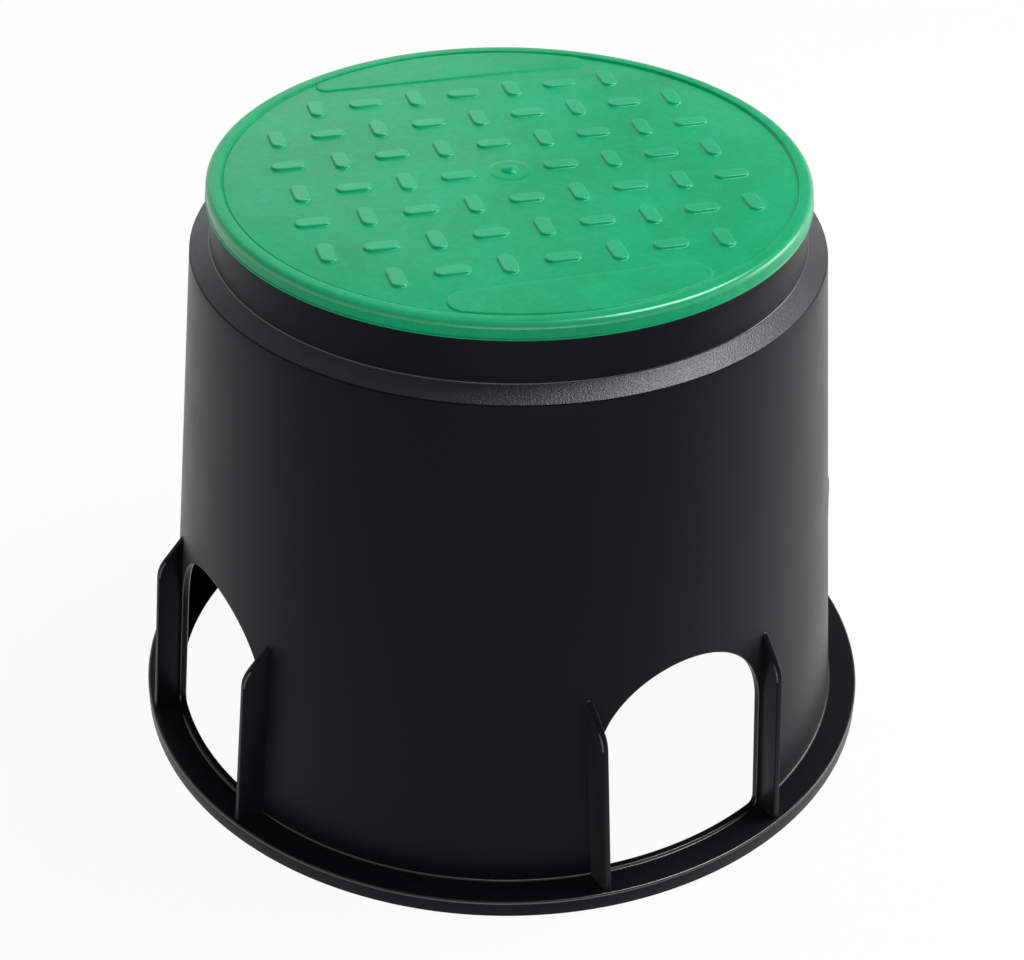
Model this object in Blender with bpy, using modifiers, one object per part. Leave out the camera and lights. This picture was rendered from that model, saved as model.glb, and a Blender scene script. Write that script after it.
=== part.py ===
"""Round irrigation valve box: a tapered moulded body with four pipe arches and a twist-lock lid.

Metres, +Z up. The origin is the centre of the base, on the ground. A pipe arch faces the front, -Y.
The lid turns about +Z: shut and locked as modelled, free to lift off after LOCK_TURN.
"""
from math import acos, asin, cos, hypot, pi, radians, sin, sqrt, tan

import bmesh
import bpy
from mathutils import Matrix

# Body heights, from the ground up
FLANGE_HEIGHT = 0.0075
WALL_RISE = 0.2199
SHOULDER_RISE = 0.0041
NECK_RISE = 0.0192

# Body radii, from the neck outwards
NECK_RADIUS = 0.1216
NECK_DRAFT = 0.0013
SHOULDER_WIDTH = 0.0084
WALL_FLARE = 0.0210
FLANGE_WIDTH = 0.0127

# Body sections
WALL = 0.0032
FLANGE_PLATE = 0.0032
FLANGE_LIP = 0.0032
FOOT_FILLET = 0.0013
EDGE_ROUND = 0.0007
SHOULDER_ROUND = 0.0012

# Pipe arches and the fins that frame them
ARCH_COUNT = 4
ARCH_WIDTH = 0.0800
ARCH_TOP = 0.1025
ARCH_CORNER = 0.0030
SILL_RISE = 0.0009
FIN_THICKNESS = 0.0028
FIN_MARGIN = 0.0014
FIN_SETBACK = 0.0018
FIN_DROP = 0.0040
FIN_SLOPE = radians(45)
FIN_CORNER = 0.0035

# Lid
LID_OVERHANG = 0.0014
SEAT_GAP = 0.0003
RIM_HEIGHT = 0.0072
RIM_WIDTH = 0.0063
RIM_ROUND = 0.0030
RIM_STEP = 0.0008
RIM_CHAMFER = 0.0004
LID_PLATE = 0.0030
LIP_THICKNESS = 0.0032
LID_TURN_AT_REST = radians(-15.3)

# Tread bars, panels and the gate mark on the lid
TREAD_LENGTH = 0.0137
TREAD_WIDTH = 0.0055
TREAD_HEIGHT = 0.0011
TREAD_DRAFT = 0.0004
TREAD_PITCH_ALONG = 0.0216
TREAD_PITCH_ACROSS = 0.0250
TREAD_EDGE_MARGIN = 0.0060
PANEL_HEIGHT = 0.0006
PANEL_GAP = 0.0012
PANEL_MARGIN = 0.0040
FRONT_PANEL_DEPTH = 0.0263
FRONT_PANEL_END = 0.0080
REAR_PANEL_DEPTH = 0.0254
REAR_PANEL_END = 0.0045
PAD_RADIUS = 0.0086
PAD_HEIGHT = 0.0003
NUB_RADIUS = 0.0033
NUB_HEIGHT = 0.0009

# Twist lock: lugs on the lid's skirt turn under ledges inside the neck
LUG_COUNT = 4
LOCK_TURN = radians(25)
LUG_ARC = radians(18)
LEDGE_OVERLAP_ARC = radians(4)
STOP_ARC = radians(2)
STOP_PLAY = radians(0.5)
LEDGE_DROP = 0.0075
LEDGE_THICKNESS = 0.0035
LEDGE_DEPTH = 0.0036
LUG_HEIGHT = 0.0035
LUG_PLAY = 0.0003
SKIRT_GAP = 0.0008
SKIRT_THICKNESS = 0.0026
SKIRT_TAIL = 0.0010

# Ribs under the lid
RIB_COUNT = 8
RIB_THICKNESS = 0.0022
RIB_HEIGHT = 0.0090
HUB_RADIUS = 0.0140
RING_RADIUS = 0.0620

# How far a joined form reaches into what carries it
BITE = 0.0006
# How far a cutter runs past what it cuts
CLEAR = 0.0200

BODY_STEPS = 96
LID_STEPS = 72
ARC_STEPS = 12

# Places worked out from the sizes
SHOULDER_Z = FLANGE_HEIGHT + WALL_RISE
CREASE_Z = SHOULDER_Z + SHOULDER_RISE
NECK_Z = CREASE_Z + NECK_RISE
CREASE_RADIUS = NECK_RADIUS + NECK_DRAFT
SHOULDER_RADIUS = CREASE_RADIUS + SHOULDER_WIDTH
FOOT_RADIUS = SHOULDER_RADIUS + WALL_FLARE
FLANGE_RADIUS = FOOT_RADIUS + FLANGE_WIDTH
NECK_INNER = NECK_RADIUS - WALL

LID_RADIUS = NECK_RADIUS + LID_OVERHANG
RIM_Z = NECK_Z + SEAT_GAP
RIM_TOP = RIM_Z + RIM_HEIGHT
FIELD_Z = RIM_TOP - RIM_STEP
FIELD_RADIUS = LID_RADIUS - RIM_WIDTH
UNDER_Z = FIELD_Z - LID_PLATE

LEDGE_TOP = NECK_Z - LEDGE_DROP
LEDGE_BOTTOM = LEDGE_TOP - LEDGE_THICKNESS
LEDGE_INNER = NECK_INNER - LEDGE_DEPTH
LUG_TOP = LEDGE_BOTTOM - LUG_PLAY
LUG_BOTTOM = LUG_TOP - LUG_HEIGHT
SKIRT_RADIUS = LEDGE_INNER - SKIRT_GAP
LUG_RADIUS = NECK_INNER - SKIRT_GAP
SKIRT_BOTTOM = LUG_BOTTOM - SKIRT_TAIL


def wall_radius(z):
    """Outer radius of the tapered wall at a height."""
    return FOOT_RADIUS - WALL_FLARE * (z - FLANGE_HEIGHT) / WALL_RISE


def arc(cx, cy, radius, start, end, steps):
    """Points on an arc, both ends included."""
    turn = (end - start) / steps
    return [(cx + radius * cos(start + i * turn), cy + radius * sin(start + i * turn)) for i in range(steps + 1)]


def material(name, colour, roughness):
    """Moulded polymer: one Principled BSDF."""
    mat = bpy.data.materials.new(name)
    mat.use_nodes = True
    shader = mat.node_tree.nodes["Principled BSDF"]
    shader.inputs["Base Color"].default_value = (*colour, 1.0)
    shader.inputs["Roughness"].default_value = roughness
    shader.inputs["Metallic"].default_value = 0.0
    return mat


def turned(name, profile, steps, closed, collection):
    """Turn a profile of (radius, height) points about Z. It runs down its outer side."""
    mesh = bpy.data.meshes.new(name)
    count = len(profile)
    edges = [(i, i + 1) for i in range(count - 1)]
    if closed:
        edges.append((count - 1, 0))
    mesh.from_pydata([(r, 0.0, z) for r, z in profile], edges, [])
    obj = bpy.data.objects.new(name, mesh)
    collection.objects.link(obj)
    screw = obj.modifiers.new("Turn", "SCREW")
    screw.axis = "Z"
    screw.angle = 2 * pi
    screw.steps = steps
    screw.render_steps = steps
    screw.use_merge_vertices = True
    screw.merge_threshold = 0.00001
    return obj


def plate(name, outlines, thickness, place, collection):
    """Flat outlines in XY, extruded up from z = 0 by a thickness, then placed: one welded mesh."""
    curve = bpy.data.curves.new(name, "CURVE")
    curve.dimensions = "2D"
    curve.fill_mode = "BOTH"
    curve.extrude = thickness / 2
    for outline in outlines:
        spline = curve.splines.new("POLY")
        spline.points.add(len(outline) - 1)
        for point, (x, y) in zip(spline.points, outline):
            point.co = (x, y, 0.0, 1.0)
        spline.use_cyclic_u = True
    flat = bpy.data.objects.new(name, curve)
    collection.objects.link(flat)
    bpy.context.view_layer.update()
    depsgraph = bpy.context.evaluated_depsgraph_get()
    mesh = bpy.data.meshes.new_from_object(flat.evaluated_get(depsgraph))
    bpy.data.objects.remove(flat)
    mesh.transform(place @ Matrix.Translation((0.0, 0.0, thickness / 2)))
    form = bmesh.new()
    form.from_mesh(mesh)
    bmesh.ops.remove_doubles(form, verts=form.verts, dist=0.000001)
    bmesh.ops.recalc_face_normals(form, faces=form.faces)
    form.to_mesh(mesh)
    form.free()
    obj = bpy.data.objects.new(name, mesh)
    collection.objects.link(obj)
    return obj


def joined(name, pieces, collection):
    """Put the meshes of several guides in one guide. They don't touch each other."""
    form = bmesh.new()
    for piece in pieces:
        form.from_mesh(piece.data)
        bpy.data.objects.remove(piece)
    mesh = bpy.data.meshes.new(name)
    form.to_mesh(mesh)
    form.free()
    obj = bpy.data.objects.new(name, mesh)
    collection.objects.link(obj)
    return obj


def combine(target, guide, operation):
    """Add a Boolean, and keep its guide out of sight."""
    guide.hide_render = True
    guide.display_type = "WIRE"
    guide.hide_set(True)
    boolean = target.modifiers.new(guide.name, "BOOLEAN")
    boolean.operation = operation
    boolean.solver = "EXACT"
    boolean.object = guide


def body_profile():
    """Section of the body, down its outer side and up its inner side."""
    lean = WALL_FLARE / WALL_RISE
    inner_foot = FOOT_RADIUS + lean * FLANGE_HEIGHT - WALL
    inner_shoulder_z = SHOULDER_Z - WALL * 0.5
    inner_shoulder = wall_radius(inner_shoulder_z) - WALL
    neck_foot_inner = CREASE_RADIUS - WALL
    flange_bottom = FLANGE_HEIGHT - FLANGE_PLATE
    foot_below = FOOT_RADIUS + lean * FLANGE_HEIGHT
    outer = [
        (NECK_RADIUS - EDGE_ROUND, NECK_Z),
        (NECK_RADIUS, NECK_Z - EDGE_ROUND),
        (CREASE_RADIUS, CREASE_Z),
    ]
    # Rounded outer corner of the shoulder
    slope = hypot(SHOULDER_WIDTH, SHOULDER_RISE)
    outer += [
        (
            SHOULDER_RADIUS - SHOULDER_ROUND * SHOULDER_WIDTH / slope,
            SHOULDER_Z + SHOULDER_ROUND * SHOULDER_RISE / slope,
        ),
        (SHOULDER_RADIUS + lean * SHOULDER_ROUND, SHOULDER_Z - SHOULDER_ROUND),
    ]
    # Small fillet where the wall meets the flange
    outer += [
        (wall_radius(FLANGE_HEIGHT + FOOT_FILLET), FLANGE_HEIGHT + FOOT_FILLET),
        (FOOT_RADIUS + FOOT_FILLET * (1 - sqrt(0.5)), FLANGE_HEIGHT + FOOT_FILLET * (1 - sqrt(0.5))),
        (FOOT_RADIUS + FOOT_FILLET, FLANGE_HEIGHT),
        (FLANGE_RADIUS - EDGE_ROUND, FLANGE_HEIGHT),
        (FLANGE_RADIUS, FLANGE_HEIGHT - EDGE_ROUND),
        (FLANGE_RADIUS, 0.0),
    ]
    inner = [
        (FLANGE_RADIUS - FLANGE_LIP, 0.0),
        (FLANGE_RADIUS - FLANGE_LIP, flange_bottom),
        (foot_below, flange_bottom),
        (foot_below, 0.0),
        (inner_foot, 0.0),
        (inner_shoulder, inner_shoulder_z),
        (neck_foot_inner, CREASE_Z - WALL * 0.5),
        (NECK_INNER + EDGE_ROUND * 0, NECK_Z),
    ]
    return outer + inner


def arch_outline():
    """Pipe arch seen from outside: round top, straight sides and small lower corners."""
    half = ARCH_WIDTH / 2
    sill = FLANGE_HEIGHT + SILL_RISE
    spring = ARCH_TOP - half
    corner = ARCH_CORNER
    return (
        arc(0.0, spring, half, 0.0, pi, 2 * ARC_STEPS)
        + arc(-half + corner, sill + corner, corner, pi, 1.5 * pi, 3)
        + arc(half - corner, sill + corner, corner, 1.5 * pi, 2 * pi, 3)
    )


def fin_outline(offset):
    """Fin in its own plane: x outwards, y up. Its root lies inside the wall's thickness."""
    def outwards(radius):
        return sqrt(radius ** 2 - offset ** 2)

    foot = FLANGE_HEIGHT - BITE
    tip = ARCH_TOP - FIN_DROP
    wall_foot = outwards(wall_radius(FLANGE_HEIGHT))
    depth = outwards(FLANGE_RADIUS) - FIN_SETBACK - wall_foot
    corner_z = tip - depth * tan(FIN_SLOPE)
    wall_corner = outwards(wall_radius(corner_z))
    round_drop = FIN_CORNER * sin(FIN_SLOPE)
    return [
        (wall_foot - WALL / 2, foot),
        (wall_foot + depth, foot),
        (wall_corner + depth, corner_z - FIN_CORNER),
        (wall_corner + depth - FIN_CORNER * 0.12, corner_z - FIN_CORNER * 0.4),
        (wall_corner + depth - FIN_CORNER * 0.4, corner_z + FIN_CORNER * 0.2),
        (wall_corner + depth - round_drop, corner_z + round_drop * tan(FIN_SLOPE)),
        (outwards(wall_radius(tip)), tip),
        (outwards(wall_radius(tip)) - WALL / 2, tip),
    ]


def ring_sector(inner, outer, start, end):
    """Sector of a ring, from one angle to another."""
    steps = max(3, round((end - start) / radians(4)))
    return arc(0.0, 0.0, outer, start, end, steps) + arc(0.0, 0.0, inner, end, start, steps)


def lock_angles():
    """Middle of each ledge, between the arches."""
    return [pi / LUG_COUNT + k * 2 * pi / LUG_COUNT for k in range(LUG_COUNT)]


def build_body(parts, guides):
    body = turned("box_body", body_profile(), BODY_STEPS, True, parts)

    fins = []
    offset = ARCH_WIDTH / 2 + FIN_MARGIN + FIN_THICKNESS / 2
    upright = Matrix.Rotation(pi / 2, 4, "X")
    for k in range(ARCH_COUNT):
        turn = Matrix.Rotation(-pi / 2 + k * 2 * pi / ARCH_COUNT, 4, "Z")
        for side in (-1, 1):
            place = turn @ Matrix.Translation((0.0, side * offset + FIN_THICKNESS / 2, 0.0)) @ upright
            fins.append(plate("fin", [fin_outline(offset)], FIN_THICKNESS, place, guides))
    combine(body, joined("fins", fins, guides), "UNION")

    arches = []
    reach = FLANGE_RADIUS + CLEAR
    for k in range(ARCH_COUNT):
        turn = Matrix.Rotation(k * 2 * pi / ARCH_COUNT, 4, "Z")
        place = turn @ Matrix.Translation((0.0, -ARCH_WIDTH, 0.0)) @ upright
        arches.append(plate("arch", [arch_outline()], reach - ARCH_WIDTH, place, guides))
    combine(body, joined("arches", arches, guides), "DIFFERENCE")

    ledges = []
    root = NECK_INNER + WALL / 2
    half_lug = LUG_ARC / 2
    half_ledge = half_lug + LEDGE_OVERLAP_ARC
    for middle in lock_angles():
        ledge = ring_sector(LEDGE_INNER, root, middle - half_ledge, middle + half_ledge)
        raise_to = Matrix.Translation((0.0, 0.0, LEDGE_BOTTOM))
        ledges.append(plate("ledge", [ledge], LEDGE_THICKNESS, raise_to, guides))
    combine(body, joined("ledges", ledges, guides), "UNION")

    stops = []
    for middle in lock_angles():
        shut = middle - half_lug - STOP_PLAY
        free = middle + half_lug + LOCK_TURN + STOP_PLAY
        for start, top in ((shut - STOP_ARC, LEDGE_BOTTOM + BITE), (free, LEDGE_TOP)):
            outline = ring_sector(LEDGE_INNER, root, start, start + STOP_ARC)
            raise_to = Matrix.Translation((0.0, 0.0, LUG_BOTTOM))
            stops.append(plate("stop", [outline], top - LUG_BOTTOM, raise_to, guides))
    combine(body, joined("stops", stops, guides), "UNION")
    return body


def lid_profile():
    """Section of the lid, from the axis out over its top, down its rim and back underneath."""
    pad_z = FIELD_Z + PAD_HEIGHT
    dome = [(NUB_RADIUS * sin(t), pad_z + NUB_HEIGHT * cos(t)) for t in (0.0, pi / 6, pi / 3, pi / 2)]
    top = dome + [
        (PAD_RADIUS - PAD_HEIGHT, pad_z),
        (PAD_RADIUS, FIELD_Z),
        (FIELD_RADIUS, FIELD_Z),
        (FIELD_RADIUS + RIM_STEP / 3, RIM_TOP),
    ]
    top += arc(LID_RADIUS - RIM_ROUND, RIM_TOP - RIM_ROUND, RIM_ROUND, pi / 2, 0.0, 4)
    lip = [
        (LID_RADIUS, RIM_Z + RIM_CHAMFER),
        (LID_RADIUS - RIM_CHAMFER, RIM_Z),
        (LID_RADIUS - LIP_THICKNESS, RIM_Z),
        (LID_RADIUS - LIP_THICKNESS, UNDER_Z),
    ]
    skirt = [
        (SKIRT_RADIUS, UNDER_Z),
        (SKIRT_RADIUS, SKIRT_BOTTOM),
        (SKIRT_RADIUS - SKIRT_THICKNESS, SKIRT_BOTTOM),
        (SKIRT_RADIUS - SKIRT_THICKNESS, UNDER_Z),
    ]
    rings = []
    for radius in (RING_RADIUS, HUB_RADIUS):
        rings += [
            (radius, UNDER_Z),
            (radius, UNDER_Z - RIB_HEIGHT),
            (radius - RIB_THICKNESS, UNDER_Z - RIB_HEIGHT),
            (radius - RIB_THICKNESS, UNDER_Z),
        ]
    return top + lip + skirt + rings + [(0.0, UNDER_Z)]


def tread_outline(x, y, along):
    """Rounded tread bar, lying along or across the lid's pattern."""
    length = TREAD_LENGTH
    radius = TREAD_WIDTH / 2
    straight = length / 2 - radius
    bar = arc(straight, 0.0, radius, -pi / 2, pi / 2, 4) + arc(-straight, 0.0, radius, pi / 2, 1.5 * pi, 4)
    if along:
        return [(x + u, y + v) for u, v in bar]
    return [(x - v, y + u) for u, v in bar]


def tread_outlines():
    """Bars on a lattice, by turns along and across it, clear of the panels, the rim and the centre."""
    front = FIELD_RADIUS - FRONT_PANEL_DEPTH - PANEL_MARGIN
    rear = FIELD_RADIUS - REAR_PANEL_DEPTH - PANEL_MARGIN
    reach = FIELD_RADIUS - TREAD_EDGE_MARGIN
    outlines = []
    columns = int(FIELD_RADIUS / TREAD_PITCH_ALONG)
    rows = int(FIELD_RADIUS / TREAD_PITCH_ACROSS)
    for i in range(-columns, columns + 1):
        for j in range(-rows, rows + 1):
            x = i * TREAD_PITCH_ALONG
            y = j * TREAD_PITCH_ACROSS
            outline = tread_outline(x, y, (i + j) % 2 == 1)
            fits = all(hypot(u, v) < reach and -front < v < rear for u, v in outline)
            if fits and hypot(x, y) > PAD_RADIUS + TREAD_LENGTH / 2:
                outlines.append(outline)
    return outlines


def panel_outline(depth, end, side):
    """Panel between a straight chord and the rim's curve, with round ends. side is -1 at the front."""
    bow = FIELD_RADIUS - PANEL_GAP
    chord = FIELD_RADIUS - depth
    middle = chord + end
    reach = bow - end
    across = sqrt(reach ** 2 - middle ** 2)
    lean = asin(across / reach)
    right = arc(across, middle, end, -pi / 2, pi / 2 - lean, 5)
    curve = arc(0.0, 0.0, bow, pi / 2 - lean, pi / 2 + lean, 14)
    left = arc(-across, middle, end, pi / 2 + lean, 1.5 * pi, 5)
    return [(x, side * y) for x, y in right + curve[1:-1] + left]


def build_lid(parts, guides):
    lid = turned("lid", lid_profile(), LID_STEPS, False, parts)
    pattern = Matrix.Rotation(LID_TURN_AT_REST, 4, "Z")
    on_field = Matrix.Translation((0.0, 0.0, FIELD_Z - BITE))

    bars = plate("treads", tread_outlines(), TREAD_HEIGHT + BITE, pattern @ on_field, guides)
    combine(lid, bars, "UNION")

    front = panel_outline(FRONT_PANEL_DEPTH, FRONT_PANEL_END, -1)
    rear = panel_outline(REAR_PANEL_DEPTH, REAR_PANEL_END, 1)
    panels = plate("panels", [front, rear], PANEL_HEIGHT + BITE, pattern @ on_field, guides)
    combine(lid, panels, "UNION")

    lugs = []
    for middle in lock_angles():
        outline = ring_sector(SKIRT_RADIUS - BITE, LUG_RADIUS, middle - LUG_ARC / 2, middle + LUG_ARC / 2)
        raise_to = Matrix.Translation((0.0, 0.0, LUG_BOTTOM))
        lugs.append(plate("lug", [outline], LUG_HEIGHT, raise_to, guides))
    combine(lid, joined("lugs", lugs, guides), "UNION")

    ribs = []
    inner = HUB_RADIUS - RIB_THICKNESS / 2
    outer = SKIRT_RADIUS - SKIRT_THICKNESS / 2
    half = RIB_THICKNESS / 2
    for k in range(RIB_COUNT):
        outline = [(inner, -half), (outer, -half), (outer, half), (inner, half)]
        turn = Matrix.Rotation(LID_TURN_AT_REST + (k + 0.5) * 2 * pi / RIB_COUNT, 4, "Z")
        raise_to = Matrix.Translation((0.0, 0.0, UNDER_Z - RIB_HEIGHT + BITE))
        ribs.append(plate("rib", [outline], RIB_HEIGHT, turn @ raise_to, guides))
    combine(lid, joined("ribs", ribs, guides), "UNION")
    return lid


def main():
    for obj in list(bpy.data.objects):
        bpy.data.objects.remove(obj)
    parts = bpy.data.collections.new("Valve box")
    guides = bpy.data.collections.new("Cutters")
    bpy.context.scene.collection.children.link(parts)
    bpy.context.scene.collection.children.link(guides)

    body = build_body(parts, guides)
    body.data.materials.append(material("black moulded polypropylene", (0.012, 0.012, 0.014), 0.45))

    lid = build_lid(parts, guides)
    lid.data.materials.append(material("green moulded polypropylene", (0.010, 0.330, 0.130), 0.42))


main()
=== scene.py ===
"""Looks of the round irrigation valve box: a satin black moulded body and a green lid with raised treads."""
from math import asin, atan2, cos, hypot, pi, radians, sin, sqrt, tan

import bmesh
import bpy
from mathutils import Matrix, Vector


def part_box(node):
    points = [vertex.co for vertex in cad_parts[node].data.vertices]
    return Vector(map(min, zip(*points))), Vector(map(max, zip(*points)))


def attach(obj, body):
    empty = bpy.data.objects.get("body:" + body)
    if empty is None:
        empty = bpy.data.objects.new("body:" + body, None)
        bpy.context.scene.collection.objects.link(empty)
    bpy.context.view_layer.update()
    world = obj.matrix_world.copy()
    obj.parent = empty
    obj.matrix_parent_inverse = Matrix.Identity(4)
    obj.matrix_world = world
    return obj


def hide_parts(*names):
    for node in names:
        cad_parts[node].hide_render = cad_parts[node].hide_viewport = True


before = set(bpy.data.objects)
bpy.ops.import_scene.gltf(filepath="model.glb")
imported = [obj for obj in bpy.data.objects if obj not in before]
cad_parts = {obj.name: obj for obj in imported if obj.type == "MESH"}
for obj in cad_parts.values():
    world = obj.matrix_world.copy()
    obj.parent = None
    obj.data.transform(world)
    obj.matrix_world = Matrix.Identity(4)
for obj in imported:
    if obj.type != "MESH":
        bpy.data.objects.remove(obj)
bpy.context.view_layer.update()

# The solids' own boxes, which give the overall sizes
body_low, body_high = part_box("box_body")
lid_low, lid_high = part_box("lid")

# Heights of the body. All lengths are in metres. The neck's rim is the top of the body's solid.
NECK_Z = body_high[2]
CREASE_Z = NECK_Z - 0.0192
SHOULDER_Z = CREASE_Z - 0.0041
FLANGE_TOP = 0.0075

# Radii of the body, inwards from the flange, and of the lid, under which the neck is a little narrower
FLANGE_RADIUS = (body_high[0] - body_low[0]) / 2
LID_RADIUS = (lid_high[0] - lid_low[0]) / 2
NECK_RADIUS = LID_RADIUS - 0.0014
CREASE_RADIUS = NECK_RADIUS + 0.0013
SHOULDER_RADIUS = CREASE_RADIUS + 0.0084
FOOT_RADIUS = FLANGE_RADIUS - 0.0127
TAPER = (FOOT_RADIUS - SHOULDER_RADIUS) / (SHOULDER_Z - FLANGE_TOP)

# Sections of the body
WALL = 0.0032
FLANGE_PLATE = 0.0032
FLANGE_LIP = 0.0032
PANEL_TOP = 0.2200
PANEL_FOOT_INSIDE = 0.0060

# Roundings of the body's own edges
FLANGE_EDGE = 0.0009
SHOULDER_EDGE = 0.0009
SHOULDER_INSIDE = 0.0010
CREASE_EDGE = 0.0007
NECK_EDGE = 0.0007
FOOT_FILLET = 0.0008

# Roundings that come again all over both mouldings: of edges, and of the roots of walls
EDGE_FINE = 0.0003
EDGE_SMALL = 0.0004
ROOT_SMALL = 0.0005
ROOT_SOFT = 0.0006
ROOT_SKIRT = 0.0008

# Pipe arches
ARCH_COUNT = 4
ARCH_HALF = 0.0400
ARCH_TOP = 0.1025
ARCH_CORNER = 0.0030
ARCH_ROLL = 0.0005
SILL_Z = FLANGE_TOP + 0.0009

# Fins that frame the arches. Each is set a little into the flange.
FIN_THICKNESS = 0.0028
FIN_OFFSET = 0.0428
FIN_TIP_Z = ARCH_TOP - 0.0075
FIN_SETBACK = 0.0018
FIN_SLOPE = radians(45)
FIN_CORNER = 0.0120
FIN_ROLL = 0.00045
FIN_SUNK = 0.0006

# Lid, seen from above: field, rim band and the thin flash lip where the mould's halves met
RIM_Z = lid_high[2] - 0.0083
RIM_TOP = RIM_Z + 0.0072
RIM_EDGE = 0.0026
FIELD_Z = RIM_TOP - 0.0008
FIELD_RADIUS = LID_RADIUS - 0.0063
FIELD_RINGS = (0.0400, 0.0800)
LIP_THICKNESS = 0.0032
FLASH_REACH = 0.0004
FLASH_HEIGHT = 0.0006
FLASH_START = 0.0010
FLASH_EDGE = 0.0002
LID_TURN = radians(-15.3)

# Groove between the lid's field and its rim band
GROOVE_INNER = 0.1156
GROOVE_RADIUS = 0.1163
GROOVE_OUTER = 0.1171
GROOVE_DEPTH = 0.0006

# Nub in the middle of the lid, on its round pad
NUB_RADIUS = 0.0038
NUB_HEIGHT = 0.0015
PAD_TOP = 0.0078
PAD_FOOT = 0.0092
PAD_HEIGHT = 0.0003
PAD_EDGE = 0.0020

# Tread bars, laid by turns along and across a lattice, as far as the reach and clear of the nub
TREAD_LENGTH = 0.0144
TREAD_WIDTH = 0.0064
TREAD_HEIGHT = 0.0010
TREAD_ACROSS = 0.0216
TREAD_ALONG = 0.0250
TREAD_COLUMNS = 4
TREAD_ROWS = 3
TREAD_REACH = 0.1050
TREAD_CLEAR = 0.0100

# Side of a tread bar, from just under the field to its flat top: how far outside its outline, and how high
TREAD_SIDE = (
    (0.00040, -0.00010),
    (0.00035, -0.00001),
    (0.00022, 0.00004),
    (0.00012, 0.00016),
    (-0.00006, 0.00056),
    (-0.00016, 0.00076),
    (-0.00034, 0.00092),
    (-0.00055, TREAD_HEIGHT),
    (-0.00080, TREAD_HEIGHT),
)

# Raised panels at the front and the back of the pattern: depth from chord to field's edge, and ends' radius
FRONT_PANEL = (0.0263, 0.0080)
BACK_PANEL = (0.0254, 0.0045)
PANEL_MARGIN = 0.0012
PANEL_HEIGHT = 0.00060

# Side of a raised panel, told as a tread bar's is
PANEL_SIDE = (
    (0.00050, -0.00010),
    (0.00045, -0.00001),
    (0.00022, 0.00005),
    (0.00005, 0.00020),
    (-0.00010, 0.00042),
    (-0.00030, 0.00056),
    (-0.00060, PANEL_HEIGHT),
    (-0.00090, PANEL_HEIGHT),
)

# Twist lock: lugs on the lid's skirt turn under ledges inside the neck, from one end stop to the other
NECK_INNER = NECK_RADIUS - WALL
LEDGE_TOP = NECK_Z - 0.0075
LEDGE_BOTTOM = LEDGE_TOP - 0.0035
LEDGE_INNER = NECK_INNER - 0.0036
LEDGE_ROOT = NECK_INNER + 0.0016
LUG_TOP = LEDGE_BOTTOM - 0.0003
LUG_BOTTOM = LUG_TOP - 0.0035
SKIRT_RADIUS = LEDGE_INNER - 0.0008
LUG_RADIUS = NECK_INNER - 0.0008
LUG_ROOT = SKIRT_RADIUS - 0.0010
SKIRT_BOTTOM = LUG_BOTTOM - 0.0010
SKIRT_THICKNESS = 0.0026
LUG_COUNT = 4
LUG_HALF = radians(9)
LEDGE_HALF = LUG_HALF + radians(4)
LOCK_TURN = radians(25)
STOP_PLAY = radians(0.5)
STOP_ARC = radians(2)
STOP_OVERLAP = 0.0006

# Rings and ribs under the lid. The ribs reach into the plate and stay a hair above the rings' edge.
LID_PLATE = 0.0030
UNDER_Z = FIELD_Z - LID_PLATE
RING_RADIUS = 0.0620
HUB_RADIUS = 0.0140
RIB_COUNT = 8
RIB_THICKNESS = 0.0022
RIB_HEIGHT = 0.0090
RIB_SHY = 0.0001
RIB_SUNK = 0.0006

# Steps of turned and curved forms. A turned form has one a degree, so that it stays round at any zoom.
STEPS = 360
SIDE_STEPS = 30
EDGE_STEPS = STEPS // ARCH_COUNT
SPREAD_STEPS = 14
SPREAD_EASE = 1.6
ROLL_STEPS = 4
SMALL_ARC_STEPS = 8
TREAD_END_STEPS = 10
PANEL_END_STEPS = 16
PANEL_CURVE_STEPS = 48
PAPER_BEND_STEPS = 12
PLATE_ROLL_STEPS = 3
BLOCK_ROLL_STEPS = 2
ROUNDING_STEP = radians(15)
OUTLINE_STEP = radians(1.5)
BLOCK_STEP = radians(2)
FEWEST_STEPS = 3
FEWEST_OUTLINE_STEPS = 4

# Limits for the work on meshes: doubles that are merged, edges that stay sharp, edges that are rolled
WELD = 0.000005
ON_AXIS = 0.000001
SHARP_EDGE = radians(32)
ROLLED_EDGE = radians(40)
ROUND_PROFILE = 0.5

# How a face is known: an edge's by its width and area, the inside's by its inward lean, the rim's by its tilt
EDGE_FACE = 0.0003
EDGE_FACE_AREA = 0.000003
INWARD_LEAN = 0.3
RIM_TILT_LOW = 0.05
RIM_TILT_HIGH = 0.98

# Polypropylene: widths of its flow marks and scuffs, which share of them tells, and what they do to the gloss
FLOW_WIDTH = 0.035
SCUFF_WIDTH = 0.004
TONE_LOW = 0.7
TONE_HIGH = 1.3
GLOSS_LOW = 0.3
GLOSS_HIGH = 0.7
GLOSS_SPREAD = 0.03
POLYPROPYLENE_IOR = 1.49

# Camera: where it stands round the box, how high, how far, and its lens in millimetres
VIEW_AZIMUTH = radians(-31.52)
VIEW_ELEVATION = radians(34.70)
VIEW_DISTANCE = 0.9854
VIEW_AIM = (0.0026, -0.0016, 0.1039)
VIEW_ROLL = radians(1.02)
VIEW_LENS = 77.76
VIEW_SENSOR = 36.0
NEAREST_SEEN = 0.01
FARTHEST_SEEN = 50.0

# Floor: a large sheet of pale paper that sweeps up at its edge. The last value is how much of what the eye
# sees of it is plain white.
FLOOR_RADIUS = 8.0
FLOOR_DROP = 0.0002
PAPER_BEND = 1.5
PAPER_HEIGHT = 2.6
PAPER = "F2F2F2"
WHITE_SHARE = 0.95

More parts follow.
